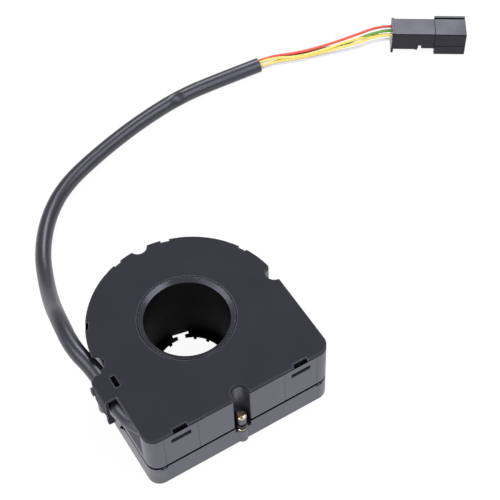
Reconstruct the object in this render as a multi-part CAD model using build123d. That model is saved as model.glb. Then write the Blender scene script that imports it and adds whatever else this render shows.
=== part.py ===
from build123d import *
from math import atan2, cos, degrees, hypot, pi, radians, sin, tan
import os

# Steering angle sensor. Millimetres, +Z up. The origin is on the bore axis, in the plane of the
# rotor's lower rim, which is the surface that the sensor stands on.

# Driving sizes of the housing
body_half = 40.25       # half width, and the radius of the round back
arc_y = -1.0            # centre of the round back
front_depth = 1.4       # how far the flat front face lies past that radius
corner_r = 5.0          # front corners
wall = 2.0              # side walls of both shells
floor_t = 2.0           # floor of the base
cover_t = 1.3           # the lid
rotor_drop = 3.1        # how far the rotor's rim stands out below the base
base_h = 11.95          # base, underside to parting line
seam_gap = 0.8          # dark line between the shells
middle_h = 20.35        # middle housing, seam to the lid's underside
edge_round = 0.4        # upper edge of the lid
edge_bevel = 0.25       # edges of the shells at the seams
tongue_h = 1.95         # tongue of the base inside the middle housing
fit_gap = 0.1           # clearance of parts that slide together

# Driving sizes of the notches and the screw stacks in them
notch_r = 3.55
notch_lip_r = 0.6
lug_r = 2.5
lug_h = 8.7             # top of the lug above the base's underside
lug_chamfer = 0.6
insert_r = 2.0
insert_flange_r = 2.3
insert_flange_t = 0.8
insert_sunk = 4.8       # part of the insert inside the lug
insert_proud = 3.2      # part above the lug
boss_r = 2.05
boss_h = 5.0
screw_r = 1.25
screw_head_r = 2.15
screw_head_t = 1.5
screw_clearance = 0.15
recess_w = 0.55
recess_depth = 0.6

# Driving sizes of the rotor
bore_r = 17.11
tube_wall = 1.49
lip_r = 19.27
lip_flat = 0.2
flare_h = 1.29
bearing_gap = 0.08
lid_gap = 0.25          # between the rotor's rim and the lid
flare_land = 0.2        # flat step between the flare and the bore
flange_inner_r = 14.45
flange_t = 1.2
tooth_pitch_count = 16
tooth_w = 1.2
tooth_h = 0.9
slot_angle = 77.8
slot_neck_w = 3.3
slot_neck_r = 15.6
slot_back_w = 7.0
slot_back_r = 17.4
shoulder_r = 21.0
shoulder_t = 2.0
collar_wall = 2.0
collar_h = 4.0
top_shoulder_r = 20.6
top_shoulder_t = 1.2
end_play = 0.1

# Driving sizes of the wipers, the track and the board
carrier_inset = 8.25    # from the body's radius
carrier_t = 2.0
track_inner_r = 22.2
track_inset = 6.25
track_t = 1.2
film_t = 0.1
film_share = 0.25       # width of a film, of the track's width
film_shares = (0.25, 0.67)
brush_lift = 0.05
brush_t = 0.25
board_z = 20.0
board_t = 1.6
board_inner_r = 22.5
board_gap = 1.0
post_r = 1.4
post_pin_r = 0.8
pin_w = 0.64
pin_pitch = 2.0
pin_count = 6
pin_row_inset = 6.45    # from the front face
pin_row_x = 20.5

# Driving sizes of the latches
latch_z = 30.1          # lower edge of the wall windows
latch_window_h = 2.6
latch_skin = 0.45       # wall left in front of a latch's pocket
front_latch_x = 26.4
front_latch_w = 6.2
front_window_w = 8.5
arc_latch_w = 3.6
arc_window_w = 4.3
arc_latch_angles = (26.9, 74.1, 105.9, 153.1)
slot_depth = 1.35
arm_t = 1.0
catch_inset = 5.3       # small catches over the seam, near the front corners
catch_w = 2.6
catch_drop = 1.5
catch_tab_w = 1.1
mould_line_x = (0.84, 0.475)  # joint lines of the tool on the front face, as shares of the body's radius
mould_line_w = 0.22
mould_line_depth = 0.12

# Driving sizes of the cable, its channel and its clip
cable_r = 3.5
channel_depth = 3.25    # from the body's side
channel_front_y = -35.0
channel_floor_z = 19.6
clip_z = 31.1
clip_front_y = -17.4
clip_back_y = -4.8
clip_wall = 1.35
clip_tabs = ((-6.9, -4.8, 27.2, 0.5), (-10.0, -7.2, 25.6, 0.0), (-16.6, -10.4, 25.8, 0.0))
leg_w = 1.2
foot_z = 21.0
window_w = 4.3
window_y = (-13.6, -8.2)
lead_r = 0.65
wire_ring_r = 1.9

# Driving sizes of the connector
plug_x = 174.53
plug_y = 107.69
plug_turn = -32.04
plug_rear_l = 19.6
plug_rear_w = 11.1
plug_rear_h = 8.84
plug_collar_l = 14.7
plug_collar_w = 13.4
plug_collar_up = 1.02
plug_collar_drop = 3.1
plug_foot = 4.0         # the rear rim's foot, which holds that end off the ground
rim_t = 1.1
rim_proud = 0.4
lock_l = 11.7
lock_side_h = 2.8
lock_t = 0.8
lock_drop = 0.85
cavity_pitch = 3.0
cavity_w = 2.2
cavity_rows = (3.4, 6.0)

# Places, heights and radii that follow
front_y = -body_half - front_depth
notch_circle_r = body_half
channel_x = -body_half + channel_depth
carrier_r = body_half - carrier_inset
track_outer_r = body_half - track_inset
track_w = track_outer_r - track_inner_r
film_w = film_share * track_w
film_radii = [track_inner_r + share * track_w for share in film_shares]
pin_row_y = front_y + pin_row_inset
base_z = rotor_drop
floor_z = base_z + floor_t
part_z = base_z + base_h
middle_z = part_z + seam_gap
tongue_z = part_z + tongue_h
cover_z = middle_z + middle_h
top_z = cover_z + cover_t
lug_z = base_z + lug_h
boss_z = lug_z + insert_proud
head_z = boss_z + boss_h
tube_r = bore_r + tube_wall
bearing_r = tube_r + bearing_gap
collar_z = base_z + collar_h
shoulder_z = collar_z + end_play
carrier_z = shoulder_z + shoulder_t
film_z = floor_z + track_t
cable_x = channel_x - cable_r
clip_x = cable_x - cable_r
ear_x = clip_x - clip_wall
notch_centres = [(0, -notch_circle_r), (notch_circle_r, 0), (0, notch_circle_r), (-notch_circle_r, 0)]


def block(x, y, z):
    """Box between two limits on each axis."""
    size = [span[1] - span[0] for span in (x, y, z)]
    middle = [(span[0] + span[1]) / 2 for span in (x, y, z)]
    return Pos(*middle) * Box(*size)


def disc(r, z0, z1, at=(0, 0)):
    """Upright cylinder between two heights."""
    return Pos(at[0], at[1], z0) * extrude(Circle(r), z1 - z0)


def ring(r_in, r_out, z0, z1, at=(0, 0)):
    return disc(r_out, z0, z1, at) - disc(r_in, z0 - 1, z1 + 1, at)


def slab(sketch, z0, z1):
    return Pos(0, 0, z0) * extrude(sketch, z1 - z0)


def on_circle(r, angle, z=0.0):
    return (r * cos(radians(angle)), r * sin(radians(angle)), z)


def outline(inset=0.0):
    """The body's outline, moved inwards."""
    r = body_half - inset
    front = front_y + inset
    c = max(corner_r - inset, 0.5)
    k = c * (1 - cos(radians(45)))
    edges = [
        ThreePointArc((r, arc_y), (0, arc_y + r), (-r, arc_y)),
        Line((-r, arc_y), (-r, front + c)),
        ThreePointArc((-r, front + c), (-r + k, front + k), (-r + c, front)),
        Line((-r + c, front), (r - c, front)),
        ThreePointArc((r - c, front), (r - k, front + k), (r, front + c)),
        Line((r, front + c), (r, arc_y)),
    ]
    return make_face(edges)


def notches(grow=0.0):
    """The four U notches, open outwards."""
    r = notch_r + grow
    cuts = Sketch()
    for x, y in notch_centres:
        turn = degrees(atan2(y, x))
        cuts += Pos(x, y) * Circle(r)
        cuts += Pos(x, y) * Rot(0, 0, turn) * Pos(5, 0) * Rectangle(10, 2 * r)
    return cuts


def notched(inset=0.0):
    """Outline with the notches cut out, both moved inwards."""
    return outline(inset) - notches(inset)


def lipped():
    """Outline of the upper shell and lid: notches with rounded lips."""
    face = notched()
    lips = []
    for v in face.vertices():
        for x, y in notch_centres:
            near = hypot(v.X - x, v.Y - y) < notch_r + 1
            on_arc = v.Y > arc_y and abs(hypot(v.X, v.Y - arc_y) - body_half) < 1e-3
            on_side = abs(abs(v.X) - body_half) < 1e-3
            on_front = abs(v.Y - front_y) < 1e-3
            if near and (on_arc or on_side or on_front):
                lips.append(v)
                break
    return fillet(lips, notch_lip_r)


# Where each latch sits: outward normal along local X, on the outline
latches = []
for side in (-1, 1):
    place = Location((side * front_latch_x, front_y, 0), (0, 0, -90))
    latches.append((place, front_latch_w, front_window_w))
for angle in arc_latch_angles:
    r_here = body_half * (1 - (arc_latch_w / body_half) ** 2 / 8)
    x, y, _ = on_circle(r_here, angle)
    latches.append((Location((x, y + arc_y, 0), (0, 0, angle)), arc_latch_w, arc_window_w))

# Cable route, from its end inside the housing to where the wires come out
cable_points = [
    (cable_x + 6.9, -34.6, clip_z - 0.5),
    (cable_x + 1.6, -27.2, clip_z - 0.5),
    (cable_x, -17.5, clip_z),
    (cable_x, 1.0, clip_z),
    (cable_x - 2.8, 14.8, 30.9),
    (cable_x - 0.8, 32.0, 27.4),
    (-38.3, 48.4, 16.2),
    (-33.9, 65.1, 8.5),
    (-28.0, 82.2, 5.2),
    (-17.1, 99.4, cable_r),
    (-2.4, 112.0, cable_r),
    (19.0, 120.4, cable_r),
    (42.9, 127.2, cable_r),
    (68.0, 131.4, cable_r),
    (89.9, 130.5, cable_r),
    (110.7, 128.8, cable_r),
]


def corner_radii(points):
    """The largest tangent arcs that the runs of a route allow."""
    p = [Vector(*q) for q in points]
    radii = []
    for a, b, c in zip(p, p[1:], p[2:]):
        half = radians((b - a).get_angle(c - b)) / 2
        radii.append(0.45 * min((b - a).length, (c - b).length) / tan(half))
    return radii


def tube_along(points, r, radii, name):
    """Round tube on straight runs joined by tangent arcs."""
    path = FilletPolyline(*points, radius=radii)
    section = Plane(path @ 0, z_dir=path % 0) * Circle(r)
    body = sweep(section, path=path)
    share = body.volume / (pi * r * r * path.length)
    print(name, "radii", [round(q, 1) for q in radii])
    print(name, "length", round(path.length, 2), "volume share", round(share, 4))
    return body


cable_radii = corner_radii(cable_points)
cable_sleeve = tube_along(cable_points, cable_r, cable_radii, "cable_sleeve")
inner_end = Vector(*cable_points[0])
inward = (inner_end - Vector(*cable_points[1])).normalized()
hole_points = [tuple(inner_end + inward * 3)] + cable_points[1:4]
cable_hole = tube_along(hole_points, cable_r + fit_gap, cable_radii[:2], "cable_hole")

# Base: shell, bearing collar, board posts and screw lugs
post_inset = wall + board_gap + post_r + 0.25
post_spots = [on_circle(body_half - post_inset, 52), on_circle(body_half - post_inset, 128)]
post_spots += [(body_half - 6.25, front_y + 8.15, 0), (channel_x + 8.0, front_y + 11.65, 0)]
foot = slab(outline(), base_z, lug_z)
foot = chamfer(foot.faces().sort_by(Axis.Z)[0].edges(), edge_bevel)
base = foot + slab(notched(), lug_z, part_z - edge_bevel)
base += slab(notched(edge_bevel), part_z - edge_bevel, part_z)
base += slab(notched(wall / 2), part_z - edge_bevel, tongue_z)
base -= slab(notched(wall), floor_z, tongue_z + 1)
for spot in notch_centres:
    lug = disc(lug_r, base_z, lug_z, spot)
    base += chamfer(lug.edges().filter_by(GeomType.CIRCLE).sort_by(Axis.Z)[0], lug_chamfer)
base += ring(bearing_r, bearing_r + collar_wall, base_z, collar_z)
for x, y, _ in post_spots:
    base += disc(post_r, floor_z, board_z, (x, y))
    base += disc(post_pin_r, board_z, board_z + board_t + 0.6, (x, y))
base -= disc(bearing_r, base_z - 1, collar_z + 1)
for spot in notch_centres:
    base -= disc(insert_r, lug_z - insert_sunk, lug_z + 1, spot)
catches = [side * (body_half - catch_inset) for side in (-1, 1)]
for x in catches:
    base -= block(
        (x - catch_w / 2, x + catch_w / 2), (front_y - 1, front_y + 0.8), (part_z - catch_drop, part_z + 1)
    )

# Middle housing: shell on the base's tongue, channel, windows and bosses
cavity = notched(wall)
channel_back_y = arc_y + (2 * body_half * channel_depth - channel_depth**2) ** 0.5
channel_zone = Pos((-60 + channel_x + wall) / 2, (channel_front_y - wall + 30) / 2) * Rectangle(
    channel_x + wall + 60, 30 - channel_front_y + wall
)
middle = slab(lipped(), middle_z, cover_z - edge_bevel)
middle += slab(notched(edge_bevel), cover_z - edge_bevel, cover_z)
middle -= slab(notched(wall / 2 - fit_gap), middle_z - 1, tongue_z)
for x in catches:
    tab_x = (x - catch_tab_w / 2, x + catch_tab_w / 2)
    middle += block(tab_x, (front_y + 0.15, front_y + 0.75), (part_z - 1.1, middle_z))
middle -= slab(cavity, tongue_z - 0.001, channel_floor_z - wall)
middle -= slab(cavity - channel_zone, channel_floor_z - wall - 0.001, cover_z + 1)
middle -= block((-60, channel_x), (channel_front_y, channel_back_y + 5), (channel_floor_z, cover_z + 1))
for y0 in (clip_front_y + 1.6, clip_back_y - 3.2):
    saddle = block((channel_x - 2.2, channel_x + 0.5), (y0, y0 + 1.6), (clip_z - 3.4, clip_z + 3.4))
    middle += saddle - Pos(cable_x, y0, clip_z) * Rot(90, 0, 0) * Cylinder(cable_r, 20)
middle -= cable_hole
for share in mould_line_x:
    for x in (-share * body_half, share * body_half):
        line_x = (x - mould_line_w / 2, x + mould_line_w / 2)
        middle -= block(line_x, (front_y - 1, front_y + mould_line_depth), (middle_z - 1, cover_z + 1))
for place, slot_w, pocket_w in latches:
    window_z = (latch_z, latch_z + latch_window_h)
    middle -= place * block((-wall - 0.05, 1), (-pocket_w / 2, pocket_w / 2), window_z)
    middle -= place * block((-wall - 0.05, -latch_skin), (-slot_w / 2, slot_w / 2), (latch_z, cover_z + 1))
for x, y in notch_centres:
    turn = degrees(atan2(y, x))
    middle += disc(boss_r, boss_z, head_z, (x, y))
    web = block((notch_circle_r - notch_r - 0.25, notch_circle_r - 1.5), (-1.2, 1.2), (middle_z, head_z))
    middle += Rot(0, 0, turn) * web
    middle -= disc(screw_r + screw_clearance, boss_z - 1, head_z + 1, (x, y))

# Top cover: plate, ear with the cable clip, snap arms
hole_r = lip_r + lid_gap
ear_root_x = channel_x + 1.0
side_edge_x = -body_half - 0.25
ear_corner = (ear_x + 2.05, clip_back_y - 1.7)
window_x = (channel_x - 1.6, channel_x - 1.6 + window_w)
cover = slab(lipped(), cover_z, top_z)
cover = fillet(cover.faces().sort_by(Axis.Z)[-1].edges(), edge_round)
cover += block((ear_x, ear_root_x), (clip_front_y, clip_back_y), (cover_z, top_z))
cover += block((side_edge_x, ear_root_x), (channel_front_y, clip_front_y), (cover_z, top_z - edge_round / 2))
cover -= disc(hole_r, cover_z - 1, top_z + 1)
rim_cone = Pos(0, 0, top_z - edge_bevel / 2) * Cone(hole_r, hole_r + edge_bevel, edge_bevel)
cover -= rim_cone
cover -= block(window_x, window_y, (cover_z - 1, top_z + 1))
cover += block((ear_x, clip_x), (clip_front_y, clip_back_y), (clip_z + 2.3, top_z))
cover += block((ear_x, clip_x), (clip_front_y, clip_front_y + 1.4), (clip_z - 0.5, top_z))
for y0, y1, z0, proud in clip_tabs:
    tab = block((ear_x - proud, clip_x), (y0, y1), (z0, clip_z + 2.4))
    ends = tab.edges().filter_by(Axis.X).group_by(Axis.Z)[0]
    cover += fillet(ends, 0.45 * min(y1 - y0, 4.0))
hook_side = Polyline(
    (ear_x, clip_z), (clip_x, clip_z), (clip_x, clip_z - 3.3), (clip_x + 0.35, clip_z - 5.1),
    (clip_x + 1.6, foot_z + 0.4), (clip_x + 1.4, foot_z), (ear_x + 0.3, foot_z), (ear_x, foot_z + 0.6),
    close=True,
)
cover += Pos(0, clip_front_y + leg_w, 0) * extrude(Plane.XZ * make_face(hook_side), leg_w)
cut_back = Polyline(
    (ear_x - 1, clip_back_y + 1), (ear_corner[0], clip_back_y + 1), (ear_corner[0], clip_back_y),
    (ear_x, ear_corner[1]), (ear_x - 1, ear_corner[1]),
    close=True,
)
cover -= slab(make_face(cut_back), clip_z, top_z + 1)
outer_edge = cover.edges().filter_by(Axis.Y).filter_by(lambda e: abs(e.center().X - ear_x) < 0.01
                                                       and abs(e.center().Z - top_z) < 0.01)
cover = fillet(outer_edge, 0.8)
for place, slot_w, pocket_w in latches:
    cover -= place * block((-slot_depth, 5), (-slot_w / 2, slot_w / 2), (cover_z - 1, top_z + 1))
    arm_x = -wall - 0.15
    arm_y = slot_w / 2 - 0.3
    arm = block((arm_x - arm_t, arm_x), (-arm_y, arm_y), (latch_z - 0.5, cover_z + 0.1))
    hook_reach = wall + 0.15 - latch_skin - 0.3
    hook_z = (latch_z + 0.8, latch_z + latch_window_h)
    hook = block((arm_x - 0.1, arm_x + hook_reach), (-arm_y, arm_y), hook_z)
    hook_nose = hook.edges().filter_by(Axis.Y).group_by(Axis.X)[-1].sort_by(Axis.Z)[0]
    cover += place * (arm + chamfer(hook_nose, hook_reach * 0.6))

# Screws and inserts in the four notches
screws = []
inserts = []
for x, y in notch_centres:
    head = disc(screw_head_r, head_z, head_z + screw_head_t, (x, y))
    head = fillet(head.edges().filter_by(GeomType.CIRCLE).sort_by(Axis.Z)[-1], 0.55 * screw_head_t)
    screw = head + disc(screw_r, lug_z - insert_sunk + 0.5, head_z, (x, y))
    top = head_z + screw_head_t
    for turn in (45, 135):
        cross = block((-1.15, 1.15), (-recess_w / 2, recess_w / 2), (top - recess_depth, top + 1))
        screw -= Pos(x, y, 0) * Rot(0, 0, turn) * cross
    screws.append(screw)
    insert = disc(insert_r, lug_z - insert_sunk, boss_z, (x, y))
    insert += disc(insert_flange_r, lug_z, lug_z + insert_flange_t, (x, y))
    insert -= disc(screw_r, lug_z - insert_sunk - 1, boss_z + 1, (x, y))
    inserts.append(insert)

# Rotor hub: sleeve with flared rim, retaining shoulders and the drive flange
hub = disc(tube_r, 0, top_z - flare_h) + disc(lip_r, top_z - flare_h, top_z)
hub += disc(shoulder_r, shoulder_z, carrier_z)
hub += disc(top_shoulder_r, cover_z - end_play - top_shoulder_t, cover_z - end_play)
hub -= disc(bore_r, flange_t, top_z + 1)
hub -= disc(flange_inner_r, -1, flange_t + 1)
cone = Pos(0, 0, top_z - flare_h / 2) * Cone(bore_r + flare_land, lip_r - lip_flat, flare_h)
hub -= cone
tooth = block((flange_inner_r - tooth_h, flange_inner_r + 0.3), (-tooth_w / 2, tooth_w / 2), (0, flange_t))
for k in range(1, tooth_pitch_count):
    hub += Rot(0, 0, slot_angle + k * 360 / tooth_pitch_count) * tooth
neck = block((flange_inner_r - 2, slot_neck_r + 0.1), (-slot_neck_w / 2, slot_neck_w / 2), (-1, flange_t + 1))
back = block((slot_neck_r, slot_back_r), (-slot_back_w / 2, slot_back_w / 2), (-1, flange_t + 1))
hub -= Rot(0, 0, slot_angle) * (neck + back)

# Wiper carrier on the hub's shoulder, and its two brushes a quarter turn apart
carrier = ring(tube_r, carrier_r, carrier_z, carrier_z + carrier_t)
brush_plate_r = (shoulder_r + 0.6, carrier_r - 0.3)
brush_floor = film_z + film_t + brush_lift


def brush(turn):
    plate = block(brush_plate_r, (-2.5, 2.5), (carrier_z - brush_t, carrier_z))
    for r in film_radii:
        for side in (-0.75, 0.75):
            x = (r + side - 0.4, r + side + 0.4)
            rise = carrier_z - brush_t / 2 - brush_floor
            profile = Polyline(
                (2.0, carrier_z), (2.5, carrier_z),
                (8.0, brush_floor + brush_t), (9.5, brush_floor + 2.2 * brush_t),
                (9.5, brush_floor + 1.2 * brush_t), (8.0, brush_floor),
                (2.4, carrier_z - brush_t), (2.0, carrier_z - brush_t),
                close=True,
            )
            plate += Pos(x[0], 0, 0) * extrude(Plane.YZ * make_face(profile), x[1] - x[0])
    return Rot(0, 0, turn) * plate


# Track ring with its tab, the films on it, and the pins up to the board
pin_spots = [(pin_row_x + pin_pitch * k, pin_row_y) for k in range(pin_count)]
tab_x = (pin_row_x - 1.5, pin_row_x + pin_pitch * (pin_count - 1) + 1.5)
track = ring(track_inner_r, track_outer_r, floor_z, film_z)
tab = block(tab_x, (pin_row_y - 1.5, -track_inner_r), (floor_z, film_z))
track += tab - disc(track_inner_r + 1, floor_z - 1, film_z + 1)
films = [ring(r - film_w / 2, r + film_w / 2, film_z, film_z + film_t) for r in film_radii]
pins = []
for x, y in pin_spots:
    square = Pos(x, y) * Rectangle(pin_w, pin_w)
    pins.append(slab(square, floor_z + 0.3, board_z + board_t + 1.0))
    track -= slab(square, floor_z + 0.3, film_z + 1)

# Circuit board on the base's posts
edge = wall + board_gap
board_sketch = notched(edge) - Circle(board_inner_r)
channel_side = Rectangle(4 * wall, 2 * body_half - 4, align=(Align.MAX, Align.CENTER))
board_sketch -= Pos(channel_x + wall + board_gap / 2, 0) * channel_side
board = slab(board_sketch, board_z, board_z + board_t)
for x, y, _ in post_spots:
    board -= disc(post_pin_r, board_z - 1, board_z + board_t + 1, (x, y))
for x, y in pin_spots:
    board -= slab(Pos(x, y) * Rectangle(pin_w, pin_w), board_z - 1, board_z + board_t + 1)
board_top = board_z + board_t


def gull_legs(count, pitch, reach, foot, width, rise):
    """One row of bent legs beside a package, along local X, feet on the board."""
    legs = Part()
    for k in range(count):
        x = (k - (count - 1) / 2) * pitch
        legs += block((x - width / 2, x + width / 2), (reach - foot, reach), (0, 0.15))
        legs += block((x - width / 2, x + width / 2), (reach - foot - 0.15, reach - foot), (0, rise))
    return legs


def package(length, width, height, count, pitch, sides):
    body = Pos(0, 0, 0.15) * Box(length, width, height, align=(Align.CENTER, Align.CENTER, Align.MIN))
    body = chamfer(body.edges().group_by(Axis.Z)[-1], 0.2)
    for k in range(sides):
        turn = k * 360 / sides
        half = (width if turn % 180 == 0 else length) / 2
        body += Rot(0, 0, turn) * gull_legs(count, pitch, half + 0.95, 0.8, 0.35, height * 0.5)
    return body


def on_board(x, y, turn, body):
    return Pos(x, y, board_top) * Rot(0, 0, turn) * body


middle_r = (board_inner_r + body_half - edge) / 2
microcontroller = on_board(middle_r - 3.5, front_y + 17.65, 0, package(10.0, 10.0, 1.8, 11, 0.8, 4))
transceiver = on_board(*on_circle(middle_r, 145)[:2], 55, package(4.9, 3.9, 1.5, 4, 1.27, 2))
regulator = Pos(0, 0, 0) * Box(6.5, 6.1, 2.3, align=(Align.CENTER, Align.CENTER, Align.MIN))
regulator += block((-2.7, 2.7), (3.0, 4.2), (0, 0.5))
for x in (-2.3, 2.3):
    regulator += block((x - 0.4, x + 0.4), (-4.6, -3.0), (0, 0.5))
regulator = on_board(13.0, front_y + 10.65, 0, regulator)
can = extrude(SlotOverall(10.5, 4.6), 3.4)
can += extrude(SlotOverall(11.3, 5.2), 0.4)
crystal = on_board(*on_circle(middle_r, 43)[:2], 133, can)
capacitor = extrude(Circle(3.0), 5.4)
capacitors = [on_board(x, front_y + 10.15, 0, capacitor) for x in (-9.5, -16.5)]
resistor = block((-1.0, 1.0), (-0.62, 0.62), (0, 0.5))
resistor_r = board_inner_r + 2.2
resistors = [on_board(*on_circle(resistor_r, angle)[:2], angle, resistor) for angle in range(60, 121, 10)]

# Leads from the cable's inner end down to the board
leads = []
across = Vector(-inward.Y, inward.X, 0)
for row, ahead in ((-0.8, 1.3), (0.8, 2.9)):
    for column in (-1.45, 0, 1.45):
        start = inner_end + across * column + Vector(0, 0, row)
        corner = start + inward * ahead
        foot = Vector(corner.X, corner.Y, board_top)
        path = FilletPolyline(start, corner, foot, radius=1.1)
        leads.append(sweep(Plane(path @ 0, z_dir=path % 0) * Circle(lead_r), path=path))

# Connector, built along local X and laid down on its rear foot and the far edge of its collar
rear_half = plug_rear_w / 2
collar_half = plug_collar_w / 2
plug_end = plug_rear_l + plug_collar_l
plug_pitch = degrees(atan2(plug_collar_drop - plug_foot, plug_end))
plug_lift = plug_foot * cos(radians(plug_pitch))
plug_place = Pos(plug_x, plug_y, plug_lift) * Rot(0, 0, plug_turn) * Rot(0, -plug_pitch, 0)
collar_top = plug_rear_h + plug_collar_up
notch_x = (lock_l + 0.2, lock_l + 1.7)
rear_body = block((0, plug_rear_l), (-rear_half, rear_half), (0, plug_rear_h))
rear_body = fillet(rear_body.edges().filter_by(Axis.X).group_by(Axis.Z)[-1], 0.5)
rear_body += block((notch_x[1], plug_rear_l), (-rear_half, rear_half), (-lock_drop / 4, 0.1))
rim_half = rear_half + rim_proud
rear_rim = block((-rim_t, 0), (-rim_half, rim_half), (-0.2, plug_rear_h + rim_proud))
rear_rim = fillet(rear_rim.edges().filter_by(Axis.X).group_by(Axis.Z)[-1], 0.7)
rear_rim += block((-rim_t, 0), (-rear_half + 0.8, rear_half - 0.8), (-plug_foot, 0))
for side in (-1, 1):
    y = sorted((side * rear_half, side * (rear_half - lock_t)))
    rear_body -= block((-1, lock_l), (y[0] - 0.001, y[1] + 0.001), (-0.1, lock_side_h))
    rear_body -= block(notch_x, (y[0] - 1.2, y[1] + 1.2), (-3, 1.6))
collar = block((plug_rear_l, plug_end), (-collar_half, collar_half), (-plug_collar_drop, collar_top))
collar = fillet(collar.edges().filter_by(Axis.X), 0.5)
collar_x = (plug_rear_l, plug_end)
collar += block(collar_x, (-collar_half - 0.25, -collar_half + 1), (-plug_collar_drop + 0.5, 2.3))
groove_x = (plug_rear_l - 1, plug_end + 1)
collar -= block(groove_x, (collar_half - 2.5, collar_half - 1.5), (collar_top - 0.8, collar_top + 1))
mouth_z = (-plug_collar_drop + 1.2, collar_top - 1.2)
collar -= block((plug_rear_l + 3, plug_end + 1), (-collar_half + 1.2, collar_half - 1.2), mouth_z)
plug = rear_body + rear_rim + collar
tongue_x = (plug_rear_l + 3, plug_end - 1.5)
tongue = block(tongue_x, (-rear_half + 0.6, rear_half - 0.6), (0.4, plug_rear_h - 0.6))
plug += tongue + block((plug_rear_l + 2.9, plug_end - 1.5), (-1, 1), (-0.5, 0.5))
terminals = []
cavities = [(column * cavity_pitch, z) for z in cavity_rows for column in (-1, 0, 1)]
for y, z in cavities:
    half = cavity_w / 2
    plug -= block((3.0, plug_end), (y - half, y + half), (z - half, z + half))
    plug -= Pos(0, y, z) * Rot(0, 90, 0) * Cylinder(lead_r + fit_gap, 2 * rim_t)
    plug += Pos(0, y, z) * block((0, 2 * rim_t), (-half, half), (-half, half))
    contact = block((3.0, 9.0), (y - half, y + half), (z - half, z - half + 0.3))
    contact += block((9.0, 15.0), (y - 0.8, y + 0.8), (z - half, z + half))
    contact += block((15.0, plug_end - 4), (y - 0.5, y + 0.5), (z - 0.2, z + 0.2))
    contact += block((3.0, 5.0), (y - 0.9, y + 0.9), (z - half, z + 0.6))
    terminals.append(plug_place * contact)
lock = block((0, lock_l), (-rear_half, rear_half), (-lock_drop, 0))
for side in (-1, 1):
    y = sorted((side * rear_half, side * (rear_half - lock_t)))
    lock += block((0, lock_l), tuple(y), (-0.1, lock_side_h))
lock -= block((3.0, lock_l - 2.5), (-3.5, 3.5), (-lock_drop - 1, -lock_drop / 2))
lock += block((lock_l - 1.4, lock_l), (-rear_half, rear_half), (-lock_drop - 0.35, -lock_drop))
lock = fillet(lock.edges().filter_by(Axis.Y).filter_by(lambda e: abs(e.center().X - lock_l) < 0.01
                                                       and abs(e.center().Z + lock_drop + 0.35) < 0.01), 0.3)

# Wires, from a ring on the sleeve's end to the connector's rear face
sleeve_end = Vector(*cable_points[-1])
outward = (sleeve_end - Vector(*cable_points[-2])).normalized()
aside = Vector(-outward.Y, outward.X, 0)
plug_back = (plug_place * Pos(-1, 0, 0)).position - plug_place.position
wire_lead = 7.0
wire_stations = ((127.0, 125.0, -11.0), (142.0, 121.5, -14.0), (155.5, 117.7, -20.0))
wire_ring = {"red": 40, "yellow_a": 100, "yellow_b": 160, "white": 220, "green": 280, "brown": 340}
wire_cavity = {
    "red": (1, 1), "green": (1, 0), "yellow_a": (0, 1),
    "brown": (0, 0), "yellow_b": (-1, 1), "white": (-1, 0),
}
# Where each wire passes the three stations: to the left of the middle, and above the floor
wire_lanes = {
    "red": ((1.5, 3.9), (1.4, 3.2), (2.6, 4.6)),
    "green": ((0.2, 2.2), (0.5, 1.5), (0.9, 3.2)),
    "yellow_a": ((-0.95, 3.2), (-1.5, 3.3), (0.3, 4.6)),
    "yellow_b": ((-1.3, 1.85), (-1.15, 1.95), (-1.2, 3.3)),
    "brown": ((1.5, 2.0), (1.9, 1.45), (1.3, 1.1)),
    "white": ((-0.6, 0.75), (-0.6, 0.75), (-2.0, 1.1)),
}
wires = {}
for name, lanes in wire_lanes.items():
    turn = radians(wire_ring[name])
    start = sleeve_end + aside * (wire_ring_r * cos(turn)) + Vector(0, 0, wire_ring_r * sin(turn))
    column, row = wire_cavity[name]
    end = (plug_place * Pos(0, column * cavity_pitch, cavity_rows[row])).position
    points = [start, start + outward * wire_lead]
    for (x, y, heading), (left, up) in zip(wire_stations, lanes):
        points.append(Vector(x - left * sin(radians(heading)), y + left * cos(radians(heading)), up))
    points += [end + plug_back * wire_lead, end]
    points = [tuple(p) for p in points]
    print(name, [[round(c, 2) for c in p] for p in points])
    wires[name] = tube_along(points, lead_r, corner_radii(points), "wire_" + name)

# One STEP file for each sub-part
os.makedirs("parts", exist_ok=True)
nodes = {
    "base_housing": base,
    "middle_housing": middle,
    "top_cover": cover,
    "case_screws": Compound(children=screws),
    "threaded_inserts": Compound(children=inserts),
    "rotor_hub": hub,
    "wiper_carrier": carrier,
    "brush_a": brush(0),
    "brush_b": brush(90),
    "track_ring": track,
    "resistive_tracks": Compound(children=films),
    "solder_pins": Compound(children=pins),
    "circuit_board": board,
    "microcontroller": microcontroller,
    "bus_transceiver": transceiver,
    "voltage_regulator": regulator,
    "crystal": crystal,
    "capacitors": Compound(children=capacitors),
    "chip_resistors": Compound(children=resistors),
    "inner_leads": Compound(children=leads),
    "cable_sleeve": cable_sleeve,
    "connector_housing": plug_place * plug,
    "connector_lock": plug_place * lock,
    "connector_terminals": Compound(children=terminals),
}
for name, wire in wires.items():
    nodes["wire_" + name] = wire
for name, shape in nodes.items():
    export_step(shape, "parts/" + name + ".step")
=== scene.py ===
import bmesh
import bpy
import math
from mathutils import Matrix, Vector


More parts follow.
